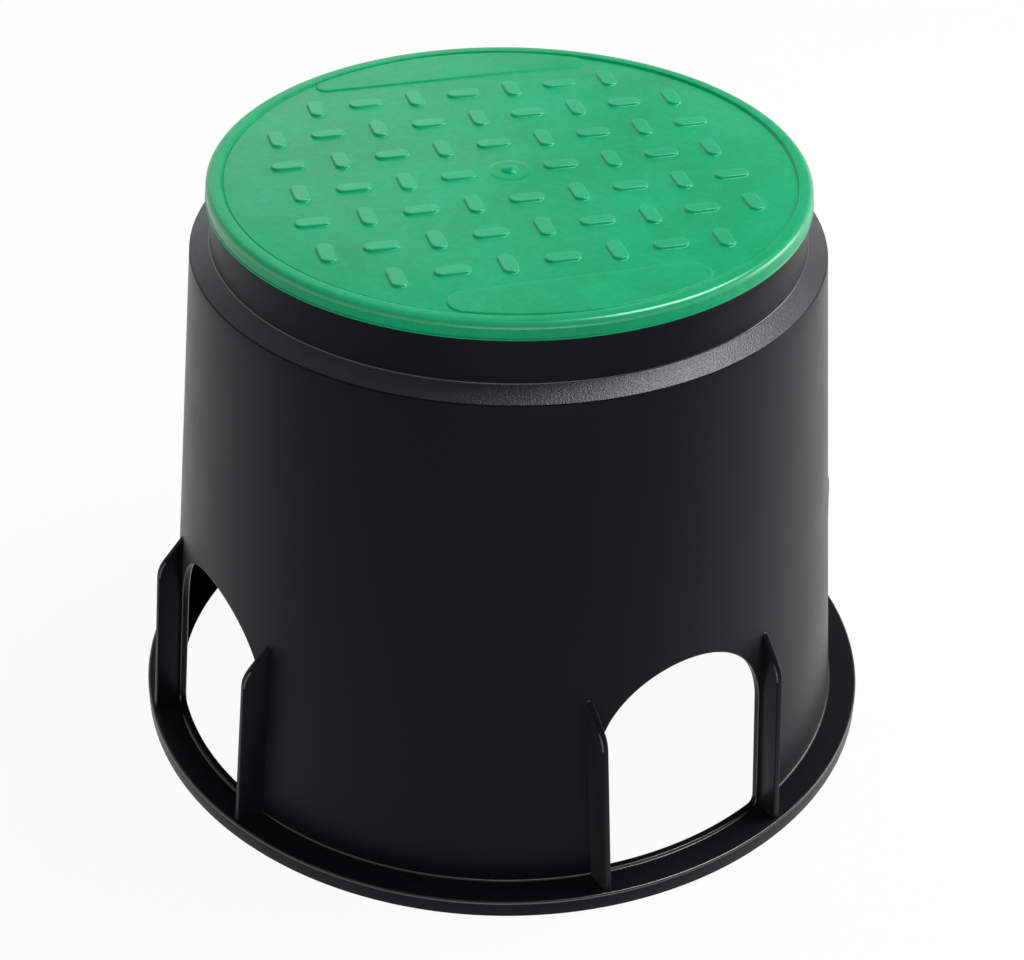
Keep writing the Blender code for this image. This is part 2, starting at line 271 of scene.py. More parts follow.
# Light: the room's even strength, and the soft boxes. Each has its place as the camera sees it (across, back,
# up), the height on the box's axis that it points at, its width and height, and its power in watts.
ROOM_LIGHT = 0.30
SOFT_BOXES = {
    "key_softbox": ((0.62, 0.20, 1.35), 0.20, (0.60, 0.60), 13.0),
    "back_softbox": ((-0.45, 1.50, 1.00), 0.25, (0.90, 0.60), 1.7),
    "low_softbox": ((1.15, 0.30, 0.40), 0.15, (0.60, 0.50), 4.5),
    "front_softbox": ((0.15, -0.90, 0.12), 0.15, (0.80, 0.16), 0.9),
}


def linear(code):
    """Linear colour from an sRGB hex value."""
    channels = [int(code[i:i + 2], 16) / 255 for i in (0, 2, 4)]
    values = [c / 12.92 if c <= 0.04045 else ((c + 0.055) / 1.055) ** 2.4 for c in channels]
    return (*values, 1.0)


def add(tree, kind, inputs=None, **settings):
    """Add a node with its settings. Each input is a value, or an output socket to link from."""
    made = tree.nodes.new(kind)
    for name, value in settings.items():
        setattr(made, name, value)
    for name, value in (inputs or {}).items():
        if isinstance(value, bpy.types.NodeSocket):
            tree.links.new(value, made.inputs[name])
        else:
            made.inputs[name].default_value = value
    return made


def moulded_polypropylene(
    name, colour, deep, roughness, grain_mm, grain_depth_mm, specular, tint="FFFFFF", sheen=0.0,
):
    """Injection-moulded polypropylene: satin, with the fine spark-eroded grain of its mould."""
    mat = bpy.data.materials.new(name)
    mat.use_nodes = True
    tree = mat.node_tree
    tree.nodes.clear()
    place = add(tree, "ShaderNodeTexCoord").outputs["Object"]
    # Flow marks a few centimetres wide, where the melt cooled unevenly
    flow = add(
        tree,
        "ShaderNodeTexNoise",
        {"Vector": place, "Scale": 1 / FLOW_WIDTH, "Detail": 3.0, "Roughness": 0.55},
    )
    # Grain of the mould, one bump to each grain_mm. Real grain is finer than a tenth of a millimetre and
    # wouldn't show, so it is drawn coarser and deeper here.
    grain = add(
        tree,
        "ShaderNodeTexNoise",
        {"Vector": place, "Scale": 1000 / grain_mm, "Detail": 2.0, "Roughness": 0.6},
    )
    # Scuffs from grit and handling. Real ones are hairlines, drawn here as coarse as they need to show.
    scuff = add(
        tree,
        "ShaderNodeTexNoise",
        {"Vector": place, "Scale": 1 / SCUFF_WIDTH, "Detail": 4.0, "Roughness": 0.7},
    )
    either = add(tree, "ShaderNodeMath", {0: flow.outputs["Fac"], 1: scuff.outputs["Fac"]}, operation="ADD")
    cooled = add(
        tree,
        "ShaderNodeMapRange",
        {"Value": either.outputs["Value"], "From Min": TONE_LOW, "From Max": TONE_HIGH},
    )
    tone = add(
        tree,
        "ShaderNodeMix",
        {"Factor": cooled.outputs["Result"], "A": linear(deep), "B": linear(colour)},
        data_type="RGBA",
    )
    gloss = add(
        tree,
        "ShaderNodeMapRange",
        {
            "Value": flow.outputs["Fac"],
            "From Min": GLOSS_LOW,
            "From Max": GLOSS_HIGH,
            "To Min": roughness - GLOSS_SPREAD,
            "To Max": roughness + GLOSS_SPREAD,
        },
    )
    bump = add(
        tree,
        "ShaderNodeBump",
        {"Height": grain.outputs["Fac"], "Strength": 1.0, "Distance": grain_depth_mm / 1000},
    )
    shader = add(
        tree,
        "ShaderNodeBsdfPrincipled",
        {
            "Base Color": tone.outputs["Result"],
            "Roughness": gloss.outputs["Result"],
            "Normal": bump.outputs["Normal"],
            "IOR": POLYPROPYLENE_IOR,
            "Specular IOR Level": specular,
            "Specular Tint": linear(tint),
            "Sheen Weight": sheen,
            "Sheen Roughness": 0.5,
        },
    )
    add(tree, "ShaderNodeOutputMaterial", {"Surface": shader.outputs["BSDF"]})
    return mat


def black_finishes():
    """The four finishes of the black moulding, in the order in which body_finish counts them."""
    # Polypropylene black all through, from a smooth mould: a deep black skin, with a weak and slightly violet
    # satin gloss that shows only where the wall turns away from the eye
    plain = moulded_polypropylene(
        "Moulded black polypropylene",
        colour="0A0810",
        deep="07060B",
        roughness=0.38,
        grain_mm=0.45,
        grain_depth_mm=0.015,
        specular=0.09,
        tint="EADFFF",
        sheen=0.09,
    )
    # The same plastic off a grit-blasted band of the mould: the pebbled grain scatters the light, so the
    # shoulder looks grey and glitters where the wall under it stays black
    blasted = moulded_polypropylene(
        "Blasted black polypropylene",
        colour="0A0810",
        deep="07060B",
        roughness=0.41,
        grain_mm=0.80,
        grain_depth_mm=0.220,
        specular=1.00,
        tint="F4F3FF",
    )
    # Edges rubbed smooth by handling and stacking: they draw thin bright lines round the dark forms
    burnished = moulded_polypropylene(
        "Burnished black polypropylene",
        colour="0A0810",
        deep="07060B",
        roughness=0.28,
        grain_mm=0.45,
        grain_depth_mm=0.010,
        specular=1.00,
    )
    # The wall inside, off a rough core and never rubbed: a rough black, painted darker than the outside and
    # without gloss as painted shade for the dim inside of the box, so it gives back no light
    inside_shade = moulded_polypropylene(
        "Rough black polypropylene with painted inside shade",
        colour="060508",
        deep="040406",
        roughness=0.90,
        grain_mm=0.60,
        grain_depth_mm=0.020,
        specular=0.00,
    )
    return [plain, blasted, burnished, inside_shade]


def green_finishes():
    """The three finishes of the green moulding: plain, the rim's polished edge, and the trodden bars, painted
    paler as sheen.
    """
    # Polypropylene green all through, from a textured mould: an even satin green, with paler flow marks and a
    # soft green-tinged gloss that lifts it towards the light
    plain = moulded_polypropylene(
        "Moulded green polypropylene",
        colour="0CB47A",
        deep="02A064",
        roughness=0.30,
        grain_mm=0.70,
        grain_depth_mm=0.060,
        specular=0.36,
        tint="A0FFD0",
    )
    # The rim's rounded edge, polished by hands: it takes the long bright streak
    polished = moulded_polypropylene(
        "Polished green polypropylene",
        colour="08AE74",
        deep="06A86E",
        roughness=0.26,
        grain_mm=0.70,
        grain_depth_mm=0.010,
        specular=0.90,
        tint="D8FFEC",
    )
    # The tread bars, worn smooth under boots: glossier than the field round them, and painted a little paler
    # as a painted sheen on their tops
    trodden_and_sheen = moulded_polypropylene(
        "Trodden green polypropylene with painted sheen",
        colour="16B87E",
        deep="08AA70",
        roughness=0.30,
        grain_mm=0.70,
        grain_depth_mm=0.040,
        specular=0.75,
        tint="B8FFDC",
    )
    return [plain, polished, trodden_and_sheen]


def skin(name, form):
    """Weld a bmesh into a mesh whose faces point outwards."""
    bmesh.ops.remove_doubles(form, verts=form.verts, dist=WELD)
    bmesh.ops.recalc_face_normals(form, faces=form.faces)
    mesh = bpy.data.meshes.new(name)
    form.to_mesh(mesh)
    form.free()
    return mesh


def finish_mesh(name, mesh, body, mats, finish=None):
    """Make a mesh a finished piece that rides on a body. finish says which of the materials a face has."""
    mesh.materials.clear()
    for mat in mats:
        mesh.materials.append(mat)
    form = bmesh.new()
    form.from_mesh(mesh)
    for face in form.faces:
        face.smooth = True
        face.material_index = finish(face) if finish else 0
    for edge in form.edges:
        edge.smooth = len(edge.link_faces) != 2 or edge.calc_face_angle(0.0) < SHARP_EDGE
    form.to_mesh(mesh)
    form.free()
    piece = bpy.data.objects.new(name, mesh)
    bpy.context.scene.collection.objects.link(piece)
    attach(piece, body)
    return piece


def keep(name, form, body, mats, finish=None):
    """Turn a bmesh into a finished piece that rides on a body."""
    return finish_mesh(name, skin(name, form), body, mats, finish)


def arc(cx, cy, radius, start, end, steps):
    """Points on an arc, both ends included."""
    turn = (end - start) / steps
    turns = [start + i * turn for i in range(steps + 1)]
    return [(cx + radius * cos(a), cy + radius * sin(a)) for a in turns]


def rounded(corners, closed):
    """Section through corners of (radius, height, rounding), with each corner rounded."""
    count = len(corners)
    points = []
    for i, (x, z, size) in enumerate(corners):
        at_end = not closed and i in (0, count - 1)
        if size == 0.0 or at_end:
            points.append((x, z))
            continue
        here = Vector((x, z))
        before = (Vector(corners[i - 1][:2]) - here).normalized()
        after = (Vector(corners[(i + 1) % count][:2]) - here).normalized()
        half = before.angle(after) / 2
        reach = size / tan(half)
        middle = here + (before + after).normalized() * (size / sin(half))
        start = here + before * reach - middle
        end = here + after * reach - middle
        sweep = end.angle_signed(start)
        steps = max(FEWEST_STEPS, round(abs(sweep) / ROUNDING_STEP))
        base = atan2(start.y, start.x)
        points += arc(middle.x, middle.y, size, base, base + sweep, steps)
    return points


def bridge(form, rings):
    """Faces between each ring of vertices and the next. A pole is a ring that repeats one vertex."""
    for near, far in zip(rings, rings[1:]):
        for k in range(len(near)):
            after = (k + 1) % len(near)
            loop = [near[k], near[after], far[after], far[k]]
            corners = [v for i, v in enumerate(loop) if v is not loop[i - 1]]
            if len(set(corners)) > 2:
                form.faces.new(corners)


def turned(form, section, closed):
    """Turn a section of (radius, height) points about Z into a bmesh."""
    turns = [2 * pi * k / STEPS for k in range(STEPS)]
    rings = []
    for radius, z in section:
        if radius < ON_AXIS:
            rings.append([form.verts.new((0.0, 0.0, z))] * STEPS)
            continue
        rings.append([form.verts.new((radius * cos(a), radius * sin(a), z)) for a in turns])
    bridge(form, rings + rings[:1] if closed else rings)


def wall_outside(z):
    """Outer radius of the wall."""
    return FOOT_RADIUS - TAPER * (z - FLANGE_TOP)


def wall_inside(z):
    """Inner radius of the wall."""
    return wall_outside(z) - WALL


def walk(pieces, count):
    """Even steps along pieces of outline. Each piece is a list of (point, outward normal)."""
    places = [p for piece in pieces for p in piece]
    far = [0.0]
    for (a, _), (b, _) in zip(places, places[1:]):
        far.append(far[-1] + (b - a).length)
    found = []
    k = 0
    for i in range(count + 1):
        target = far[-1] * i / count
        while k < len(far) - 2 and far[k + 1] < target:
            k += 1
        span = far[k + 1] - far[k]
        share = 0.0 if span == 0.0 else min(1.0, (target - far[k]) / span)
        (a, na), (b, nb) = places[k], places[k + 1]
        found.append((a.lerp(b, share), na.lerp(nb, share).normalized()))
    return found


def bend(cx, cy, radius, start, end, steps=None):
    """Arc of an outline, as (point, normal that points away from the arc's middle)."""
    steps = steps or max(FEWEST_OUTLINE_STEPS, round(abs(end - start) / OUTLINE_STEP))
    turns = [start + (end - start) * i / steps for i in range(steps + 1)]
    return [(Vector((cx + radius * cos(a), cy + radius * sin(a))), Vector((cos(a), sin(a)))) for a in turns]


def arch_loop():
    """The pipe arch seen from outside, from its lower left corner: sill, right side, round top, left side."""
    spring = ARCH_TOP - ARCH_HALF
    low = SILL_Z + ARCH_CORNER
    side = ARCH_HALF - ARCH_CORNER
    left_corner = bend(-side, low, ARCH_CORNER, 1.25 * pi, 1.5 * pi)
    sill = walk([left_corner, bend(side, low, ARCH_CORNER, 1.5 * pi, 1.75 * pi)], EDGE_STEPS)
    upright = [(Vector((ARCH_HALF, z)), Vector((1.0, 0.0))) for z in (low, spring)]
    right = walk([bend(side, low, ARCH_CORNER, 1.75 * pi, 2 * pi), upright], SIDE_STEPS)
    top = walk([bend(0.0, spring, ARCH_HALF, 0.0, pi)], EDGE_STEPS)
    left = [(Vector((-p.x, p.y)), Vector((-n.x, n.y))) for p, n in reversed(right)]
    return sill[:-1] + right[:-1] + top[:-1] + left[:-1]


def panel_loop(foot):
    """Edge of a quarter of the wall as (angle, height), matched to the arch's outline point by point."""
    half = pi / ARCH_COUNT
    low = [(-half + 2 * half * i / EDGE_STEPS, foot) for i in range(EDGE_STEPS)]
    right = [(half, foot + (PANEL_TOP - foot) * i / SIDE_STEPS) for i in range(SIDE_STEPS)]
    top = [(half - 2 * half * i / EDGE_STEPS, PANEL_TOP) for i in range(EDGE_STEPS)]
    left = [(-half, PANEL_TOP - (PANEL_TOP - foot) * i / SIDE_STEPS) for i in range(SIDE_STEPS)]
    return low + right + top + left


def arched_quarter(form, turn):
    """A quarter of the wall with a pipe arch in it: outside, rolled edge, thickness and inside."""
    outline = arch_loop()
    rolls = [i * pi / 2 / ROLL_STEPS for i in range(ROLL_STEPS + 1)]

    def spread(radius_at, foot):
        """Loops that pass from the arch's edge to the quarter's own edge, on one side of the wall."""
        loops = []
        rim = []
        panel = panel_loop(foot)
        for point, normal in outline:
            start = point + normal * ARCH_ROLL
            rim.append((asin(start.x / radius_at(start.y)), start.y))
        for step in range(SPREAD_STEPS, -1, -1):
            share = (step / SPREAD_STEPS) ** SPREAD_EASE
            places = [(a + (b - a) * share, c + (d - c) * share) for (a, c), (b, d) in zip(rim, panel)]
            loops.append([(radius_at(z) * sin(a), -radius_at(z) * cos(a), z) for a, z in places])
        return loops

    def roll(radius_at, side, share):
        """One loop of the rolled edge. side is 1 on the outside of the wall and -1 on its inside."""
        places = []
        for point, normal in outline:
            place = point + normal * (ARCH_ROLL * (1 - sin(share)))
            deep = ARCH_ROLL * (1 - cos(share)) * side
            places.append((place.x, -sqrt(radius_at(place.y) ** 2 - place.x ** 2) + deep, place.y))
        return places

    loops = spread(wall_outside, FLANGE_TOP)
    loops += [roll(wall_outside, 1, share) for share in rolls[1:]]
    loops += [roll(wall_inside, -1, share) for share in reversed(rolls[1:])]
    loops += list(reversed(spread(wall_inside, PANEL_FOOT_INSIDE)))
    bridge(form, [[form.verts.new(turn @ Vector(place)) for place in loop] for loop in loops])


def box_shell():
    """Body: flange, tapered wall with its arches, shoulder and neck, as one closed skin."""
    form = bmesh.new()
    for k in range(ARCH_COUNT):
        arched_quarter(form, Matrix.Rotation(k * 2 * pi / ARCH_COUNT, 3, "Z"))
    inner_shoulder = SHOULDER_Z - WALL / 2
    crown = [
        (wall_outside(PANEL_TOP), PANEL_TOP, 0.0),
        (SHOULDER_RADIUS, SHOULDER_Z, SHOULDER_EDGE),
        (CREASE_RADIUS, CREASE_Z, CREASE_EDGE),
        (NECK_RADIUS, NECK_Z, NECK_EDGE),
        (NECK_RADIUS - WALL, NECK_Z, NECK_EDGE),
        (CREASE_RADIUS - WALL, CREASE_Z - WALL / 2, SHOULDER_INSIDE),
        (wall_inside(inner_shoulder), inner_shoulder, SHOULDER_INSIDE),
        (wall_inside(PANEL_TOP), PANEL_TOP, 0.0),
    ]
    turned(form, rounded(crown, False), False)
    plate = FLANGE_TOP - FLANGE_PLATE
    lip = FLANGE_RADIUS - FLANGE_LIP
    below = FOOT_RADIUS + TAPER * FLANGE_TOP
    foot = [
        (FOOT_RADIUS, FLANGE_TOP, 0.0),
        (FLANGE_RADIUS, FLANGE_TOP, FLANGE_EDGE),
        (FLANGE_RADIUS, 0.0, EDGE_FINE),
        (lip, 0.0, EDGE_FINE),
        (lip, plate, ROOT_SOFT),
        (below, plate, ROOT_SOFT),
        (below, 0.0, EDGE_FINE),
        (below - WALL, 0.0, EDGE_FINE),
        (wall_inside(PANEL_FOOT_INSIDE), PANEL_FOOT_INSIDE, 0.0),
    ]
    turned(form, rounded(foot, False), False)
    return form


def foot_fillet():
    """Hollow fillet round the wall's foot, which also runs along the sills of the arches."""
    form = bmesh.new()
    top = FLANGE_TOP + FOOT_FILLET
    bottom = FLANGE_TOP - WALL / 2
    middle = wall_outside(top) + FOOT_FILLET
    root = FOOT_RADIUS - WALL / 2
    hollow = arc(middle, top, FOOT_FILLET, 1.5 * pi, pi, SMALL_ARC_STEPS)
    turned(form, [(root, bottom), (middle, bottom), *hollow, (root, top)], True)
    return form


def body_finish(face):
    """Which finish a face of the body has: 0 plain, 1 the blasted shoulder, 2 an edge, 3 the inside, painted
    darker and without gloss as shade.
    """
    middle = face.calc_center_median()
    across = hypot(middle.x, middle.y)
    if abs(middle.z - SHOULDER_Z) < SHOULDER_EDGE / 2 and across > CREASE_RADIUS:
        return 0
    if min(edge.calc_length() for edge in face.edges) < EDGE_FACE and face.calc_area() < EDGE_FACE_AREA:
        return 2
    if SHOULDER_Z < middle.z < CREASE_Z and across > CREASE_RADIUS:
        return 1
    outwards = face.normal.x * middle.x + face.normal.y * middle.y
    return 3 if outwards < -INWARD_LEAN * across else 0


def lid_finish(face):
    """Which finish a face of the lid has: 0 plain, 1 the rim's rounded edge, which hands and boots polish."""
    middle = face.calc_center_median()
    across = hypot(middle.x, middle.y)
    on_rim = across > LID_RADIUS - RIM_EDGE and middle.z > RIM_TOP - RIM_EDGE
    return int(on_rim and RIM_TILT_LOW < face.normal.z < RIM_TILT_HIGH)


def thickened(form, outline, move, roll, segments):
    """Make a plate of an outline of (x, y, z) corners, as thick as move is long, with rolled edges."""
    face = form.faces.new([form.verts.new(place) for place in outline])
    made = bmesh.ops.extrude_face_region(form, geom=[face])
    moved = [v for v in made["geom"] if isinstance(v, bmesh.types.BMVert)]
    bmesh.ops.translate(form, verts=moved, vec=move)
    bmesh.ops.recalc_face_normals(form, faces=form.faces)
    edges = [e for e in form.edges if e.calc_face_angle(0.0) > ROLLED_EDGE]
    bmesh.ops.bevel(
        form,
        geom=edges,
        offset=roll,
        segments=segments,
        profile=ROUND_PROFILE,
        affect="EDGES",
        clamp_overlap=True,
    )


def rolled_plate(outline, thickness, roll):
    """Upright plate with rolled edges, from an outline of (x, z) corners that runs counter-clockwise."""
    form = bmesh.new()
    near = [(x, -thickness / 2, z) for x, z in outline]
    thickened(form, near, (0.0, thickness, 0.0), roll, PLATE_ROLL_STEPS)
    return form


def put_in(form, part, place=None):
    """Add a part to a form, moved to its place."""
    mesh = bpy.data.meshes.new("part")
    part.to_mesh(mesh)
    part.free()
    if place:
        mesh.transform(place)
    form.from_mesh(mesh)
    bpy.data.meshes.remove(mesh)


def fin_pair():
    """The two fins that frame the front arch. Each stands on the flange and leans with the wall."""
    foot = FLANGE_TOP - FIN_SUNK
    root = sqrt(FOOT_RADIUS ** 2 - FIN_OFFSET ** 2)
    depth = sqrt(FLANGE_RADIUS ** 2 - FIN_OFFSET ** 2) - FIN_SETBACK - root
    wall_tip = sqrt(wall_outside(FIN_TIP_Z) ** 2 - FIN_OFFSET ** 2)
    # Where the leaning outer edge would meet the sloped top
    drop = depth / (1 / tan(FIN_SLOPE) - TAPER)
    section = [
        (root - WALL / 2, foot, 0.0),
        (root + depth, foot, 0.0),
        (wall_tip + depth + TAPER * drop, FIN_TIP_Z - drop, FIN_CORNER),
        (wall_tip, FIN_TIP_Z, ROOT_SOFT),
        (wall_tip - WALL / 2, FIN_TIP_Z, 0.0),
    ]
    pair = bmesh.new()
    for side in (-1, 1):
        fin = rolled_plate(rounded(section, True), FIN_THICKNESS, FIN_ROLL)
        place = Matrix.Rotation(-pi / 2, 4, "Z") @ Matrix.Translation((0.0, side * FIN_OFFSET, 0.0))
        put_in(pair, fin, place)
    return pair


def named_tree(name, inputs, output):
    """Empty Geometry Nodes tree with its named inputs and one output for the finished form."""
    tree = bpy.data.node_groups.new(name, "GeometryNodeTree")
    for label, kind in inputs.items():
        tree.interface.new_socket(label, in_out="INPUT", socket_type="NodeSocket" + kind)
    tree.interface.new_socket(output, in_out="OUTPUT", socket_type="NodeSocketGeometry")
    return tree


def ring_tree(name, mat):
    """Geometry Nodes that set copies of a form round the axis."""
    inputs = {"Form": "Geometry", "Copies": "Int", "First Turn": "Float"}
    tree = named_tree(name, inputs, "Copies Placed")
    given = add(tree, "NodeGroupInput").outputs
    line = add(tree, "GeometryNodePoints", {"Count": given["Copies"]})
    index = add(tree, "GeometryNodeInputIndex")
    step = add(tree, "ShaderNodeMath", {0: 2 * pi, 1: given["Copies"]}, operation="DIVIDE")
    turn = add(
        tree,
        "ShaderNodeMath",
        {0: index.outputs["Index"], 1: step.outputs["Value"], 2: given["First Turn"]},
        operation="MULTIPLY_ADD",
    )
    about = add(tree, "ShaderNodeCombineXYZ", {"Z": turn.outputs["Value"]}).outputs["Vector"]
    placed = add(
        tree,
        "GeometryNodeInstanceOnPoints",
        {"Points": line.outputs["Points"], "Instance": given["Form"], "Rotation": about},
    )
    real = add(tree, "GeometryNodeRealizeInstances", {"Geometry": placed.outputs["Instances"]})
    finish = add(tree, "GeometryNodeSetMaterial", {"Geometry": real.outputs["Geometry"], "Material": mat})
    add(tree, "NodeGroupOutput", {"Copies Placed": finish.outputs["Geometry"]})
    return tree


def through_tree(name, form, tree, values, body, mats, finish=None):
    """Run a form through a Geometry Nodes tree and keep the result as a plain mesh."""
    carrier = bpy.data.objects.new(name, skin(name, form))
    bpy.context.scene.collection.objects.link(carrier)
    nodes = carrier.modifiers.new("Copies", "NODES")
    nodes.node_group = tree
    sockets = {s.name: s.identifier for s in tree.interface.items_tree if s.in_out == "INPUT"}
    for label, value in values.items():
        nodes[sockets[label]] = value
    bpy.context.view_layer.update()
    depsgraph = bpy.context.evaluated_depsgraph_get()
    mesh = bpy.data.meshes.new_from_object(carrier.evaluated_get(depsgraph))
    bpy.data.objects.remove(carrier)
    return finish_mesh(name, mesh, body, mats, finish)


def sector_block(form, inner, outer, start, end, low, high, roll):
    """Block between two radii, two angles and two heights, with rolled edges."""
    steps = max(FEWEST_STEPS, round((end - start) / BLOCK_STEP))
    outline = arc(0.0, 0.0, outer, start, end, steps) + arc(0.0, 0.0, inner, end, start, steps)
    part = bmesh.new()
    thickened(part, [(x, y, low) for x, y in outline], (0.0, 0.0, high - low), roll, BLOCK_ROLL_STEPS)
    put_in(form, part)


def lock_ledge():
    """One ledge in the neck with its two end stops."""
    form = bmesh.new()
    span = (LEDGE_INNER, LEDGE_ROOT)
    shut = -LUG_HALF - STOP_PLAY - STOP_ARC
    free = LUG_HALF + LOCK_TURN + STOP_PLAY
    sector_block(form, *span, -LEDGE_HALF, LEDGE_HALF, LEDGE_BOTTOM, LEDGE_TOP, EDGE_SMALL)
    sector_block(form, *span, shut, shut + STOP_ARC, LUG_BOTTOM, LEDGE_BOTTOM + STOP_OVERLAP, EDGE_FINE)
    sector_block(form, *span, free, free + STOP_ARC, LUG_BOTTOM, LEDGE_TOP, EDGE_FINE)
    return form


def lock_lug():
    """One lug on the lid's skirt."""
    form = bmesh.new()
    sector_block(form, LUG_ROOT, LUG_RADIUS, -LUG_HALF, LUG_HALF, LUG_BOTTOM, LUG_TOP, EDGE_SMALL)
    return form


def lid_cover():
    """Lid: nub, pad, field, raised rim band, side, lip and underside, turned as one closed skin."""
    form = bmesh.new()
    pad = FIELD_Z + PAD_HEIGHT
    # The nub is a cap of a ball
    ball = (NUB_RADIUS ** 2 + NUB_HEIGHT ** 2) / (2 * NUB_HEIGHT)
    lean = asin(NUB_RADIUS / ball)
    nub = arc(0.0, pad + NUB_HEIGHT - ball, ball, pi / 2, pi / 2 - lean, SMALL_ARC_STEPS)
    top = [
        *((radius, z, 0.0) for radius, z in nub),
        (PAD_TOP, pad, PAD_EDGE),
        (PAD_FOOT, FIELD_Z, PAD_EDGE),
        *((radius, FIELD_Z, 0.0) for radius in FIELD_RINGS),
        (GROOVE_INNER, FIELD_Z, EDGE_SMALL),
        (GROOVE_RADIUS, FIELD_Z - GROOVE_DEPTH, EDGE_FINE),
        (GROOVE_OUTER, RIM_TOP, EDGE_SMALL),
    ]
    flash = LID_RADIUS + FLASH_REACH
    lip = LID_RADIUS - LIP_THICKNESS
    side = [
        (LID_RADIUS, RIM_TOP, RIM_EDGE),
        (LID_RADIUS, RIM_Z + FLASH_START, EDGE_FINE),
        (flash, RIM_Z + FLASH_HEIGHT, FLASH_EDGE),
        (flash, RIM_Z, EDGE_FINE),
        (lip, RIM_Z, EDGE_SMALL),
        (lip, UNDER_Z, ROOT_SMALL),
    ]
    skirt = SKIRT_RADIUS - SKIRT_THICKNESS
    underside = [
        (SKIRT_RADIUS, UNDER_Z, ROOT_SMALL),
        (SKIRT_RADIUS, SKIRT_BOTTOM, EDGE_SMALL),
        (skirt, SKIRT_BOTTOM, EDGE_SMALL),
        (skirt, UNDER_Z, ROOT_SKIRT),
    ]
    rings_low = UNDER_Z - RIB_HEIGHT
    for radius in (RING_RADIUS, HUB_RADIUS):
        underside += [
            (radius, UNDER_Z, ROOT_SOFT),
            (radius, rings_low, EDGE_SMALL),
            (radius - RIB_THICKNESS, rings_low, EDGE_SMALL),
            (radius - RIB_THICKNESS, UNDER_Z, ROOT_SOFT),
        ]
    underside.append((0.0, UNDER_Z, 0.0))
    turned(form, rounded(top + side + underside, False), False)
    return form


def stiffening_rib():
    """One rib under the lid, from the hub ring to the skirt."""
    start = HUB_RADIUS - RIB_THICKNESS / 2
    end = SKIRT_RADIUS - SKIRT_THICKNESS / 2
    low = UNDER_Z - RIB_HEIGHT + RIB_SHY
    high = UNDER_Z + RIB_SUNK
    return rolled_plate([(start, low), (end, low), (end, high), (start, high)], RIB_THICKNESS, EDGE_SMALL)


def raised(form, outline, side, base):
    """Raised form on the lid. outline holds (point, outward normal), side holds (offset, height)."""
    rings = []
    for offset, height in side:
        places = [point + normal * offset for point, normal in outline]
        rings.append([form.verts.new((place.x, place.y, base + height)) for place in places])
    bridge(form, rings)
    form.faces.new(rings[-1])
    form.faces.new(list(reversed(rings[0])))


def tread_bar():
    """One tread bar along X, with the soft edges of a moulding. It starts just under the field."""
    form = bmesh.new()
    radius = TREAD_WIDTH / 2
    straight = TREAD_LENGTH / 2 - radius
    right = bend(straight, 0.0, radius, -pi / 2, pi / 2, TREAD_END_STEPS)
    left = bend(-straight, 0.0, radius, pi / 2, 1.5 * pi, TREAD_END_STEPS)
    raised(form, right + left, TREAD_SIDE, FIELD_Z)
    return form


def tread_tree(mat):
    """Geometry Nodes that lay bars on a lattice, by turns along and across it."""
    inputs = {
        "Bar": "Geometry",
        "Pitch Across": "Float",
        "Pitch Along": "Float",
        "Columns Each Way": "Int",
        "Rows Each Way": "Int",
        "Reach": "Float",
        "Clear Centre": "Float",
        "Pattern Turn": "Float",
    }
    tree = named_tree("Tread lattice", inputs, "Bars Placed")
    given = add(tree, "NodeGroupInput").outputs

    def maths(operation, *values):
        made = add(tree, "ShaderNodeMath", dict(enumerate(values)), operation=operation)
        return made.outputs["Value"]

    # Row and column of each bar, counted from the middle of the lattice. The added half keeps the division
    # from falling just short of a whole row.
    columns = maths("MULTIPLY_ADD", given["Columns Each Way"], 2.0, 1.0)
    rows = maths("MULTIPLY_ADD", given["Rows Each Way"], 2.0, 1.0)
    total = maths("MULTIPLY", columns, rows)
    points = add(tree, "GeometryNodePoints", {"Count": total})
    index = add(tree, "GeometryNodeInputIndex").outputs["Index"]
    row = maths("FLOOR", maths("DIVIDE", maths("ADD", index, 0.5), columns))
    column = maths("SUBTRACT", index, maths("MULTIPLY", row, columns))
    i = maths("SUBTRACT", column, given["Columns Each Way"])
    j = maths("SUBTRACT", row, given["Rows Each Way"])
    x = maths("MULTIPLY", i, given["Pitch Across"])
    y = maths("MULTIPLY", j, given["Pitch Along"])
    place = add(tree, "ShaderNodeCombineXYZ", {"X": x, "Y": y}).outputs["Vector"]
    moved = add(tree, "GeometryNodeSetPosition", {"Geometry": points.outputs[0], "Position": place})
    # Bars stay within the reach and leave the centre clear, and every second one stands upright
    far = maths("SQRT", maths("ADD", maths("MULTIPLY", x, x), maths("MULTIPLY", y, y)))
    inside = maths("LESS_THAN", far, given["Reach"])
    outside = maths("GREATER_THAN", far, given["Clear Centre"])
    wanted = maths("MULTIPLY", inside, outside)
    parity = maths("FLOORED_MODULO", maths("ADD", i, j), 2.0)
    upright = maths("SUBTRACT", 1.0, maths("GREATER_THAN", parity, 0.5))
    about = add(tree, "ShaderNodeCombineXYZ", {"Z": maths("MULTIPLY", upright, pi / 2)}).outputs["Vector"]
    placed = add(
        tree,
        "GeometryNodeInstanceOnPoints",
        {
            "Points": moved.outputs["Geometry"],
            "Selection": wanted,
            "Instance": given["Bar"],
            "Rotation": about,
        },
    )
    real = add(tree, "GeometryNodeRealizeInstances", {"Geometry": placed.outputs["Instances"]})
    pattern = add(tree, "ShaderNodeCombineXYZ", {"Z": given["Pattern Turn"]}).outputs["Vector"]
    laid = add(tree, "GeometryNodeTransform", {"Geometry": real.outputs["Geometry"], "Rotation": pattern})
    finish = add(tree, "GeometryNodeSetMaterial", {"Geometry": laid.outputs["Geometry"], "Material": mat})
    add(tree, "NodeGroupOutput", {"Bars Placed": finish.outputs["Geometry"]})
    return tree


